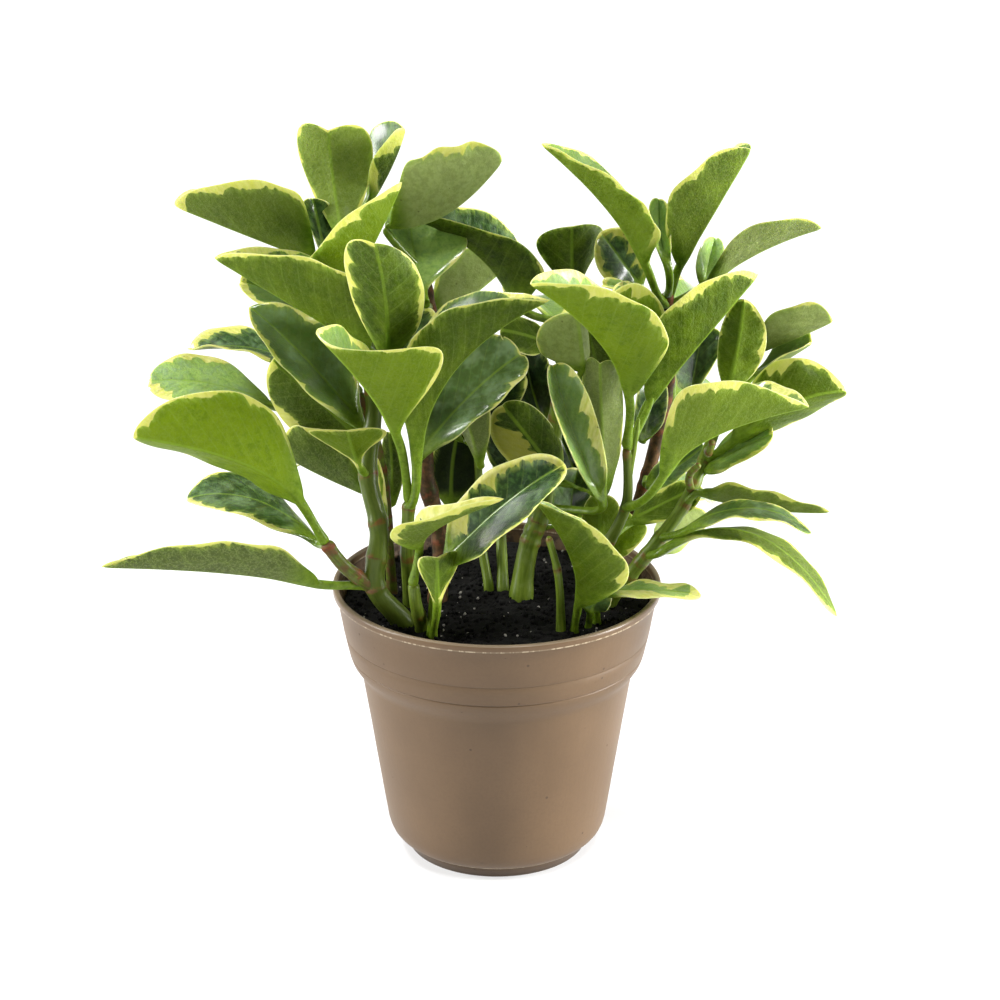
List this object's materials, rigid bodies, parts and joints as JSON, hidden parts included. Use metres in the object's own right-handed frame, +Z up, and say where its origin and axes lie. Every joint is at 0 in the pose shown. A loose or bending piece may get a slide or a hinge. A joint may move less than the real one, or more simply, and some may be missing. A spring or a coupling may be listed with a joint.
{
  "type": "potted peperomia",
  "caption": "Bushy variegated peperomia with thick folded cream-edged leaves on fleshy stems, growing from peat in a thin tapered plastic nursery pot with a stepped collar.",
  "frame": {"origin": "centre of the pot's foot, on the surface that the pot stands on", "axes": "+Z up along the pot's axis; -Y is the front, the side that the picture shows; +X is to the right seen from the front"},
  "size_m": [0.2614, 0.1552, 0.2702],
  "materials": {
    "pot_plastic": "thin taupe-brown moulded polypropylene, semi-gloss, with dark specks and light scuffs",
    "peat": "crumbly damp peat, matt and nearly black, with a few pale perlite grains",
    "green_stem": "fleshy light green stem, waxy, with reddish-brown nodes and scars",
    "woody_stem": "older dark brown stem, dull, with lighter scars",
    "leaf_flesh": "thick waxy leaf, glossy blue-green above and translucent yellow-green below, with a cream margin"
  },
  "bodies": {
    "root": {"pot": "pot_plastic", "soil": "peat", "stem_left": "green_stem", "stem_side": "green_stem", "stem_brown": "green_stem", "stem_front": "green_stem", "stem_small": "green_stem", "stem_dark": "woody_stem", "stem_centre": "green_stem", "stem_slim": "green_stem", "stem_right": "green_stem", "stem_rear": "woody_stem", "stem_outer": "green_stem", "leaf_left_1": "leaf_flesh", "leaf_left_2": "leaf_flesh", "leaf_left_3": "leaf_flesh", "leaf_left_4": "leaf_flesh", "leaf_dark_1": "leaf_flesh", "leaf_left_5": "leaf_flesh", "leaf_left_6": "leaf_flesh", "leaf_dark_2": "leaf_flesh", "leaf_centre_1": "leaf_flesh", "leaf_dark_3": "leaf_flesh", "leaf_left_7": "leaf_flesh", "leaf_brown_1": "leaf_flesh", "leaf_brown_2": "leaf_flesh", "leaf_side_1": "leaf_flesh", "leaf_brown_3": "leaf_flesh", "leaf_left_8": "leaf_flesh", "leaf_front_1": "leaf_flesh", "leaf_front_2": "leaf_flesh", "leaf_dark_4": "leaf_flesh", "leaf_soil_1": "leaf_flesh", "leaf_small_1": "leaf_flesh", "leaf_side_2": "leaf_flesh", "leaf_left_9": "leaf_flesh", "leaf_centre_2": "leaf_flesh", "leaf_centre_3": "leaf_flesh", "leaf_centre_4": "leaf_flesh", "leaf_centre_5": "leaf_flesh", "leaf_soil_2": "leaf_flesh", "leaf_soil_3": "leaf_flesh", "leaf_right_1": "leaf_flesh", "leaf_right_2": "leaf_flesh", "leaf_rear_1": "leaf_flesh", "leaf_rear_2": "leaf_flesh", "leaf_rear_3": "leaf_flesh", "leaf_outer_1": "leaf_flesh", "leaf_outer_2": "leaf_flesh", "leaf_outer_3": "leaf_flesh", "leaf_right_3": "leaf_flesh", "leaf_rear_4": "leaf_flesh", "leaf_outer_4": "leaf_flesh", "leaf_outer_5": "leaf_flesh", "leaf_outer_6": "leaf_flesh", "leaf_dark_5": "leaf_flesh", "leaf_dark_6": "leaf_flesh", "leaf_centre_6": "leaf_flesh", "leaf_slim_1": "leaf_flesh", "leaf_rear_5": "leaf_flesh"}
  },
  "joints": []
}
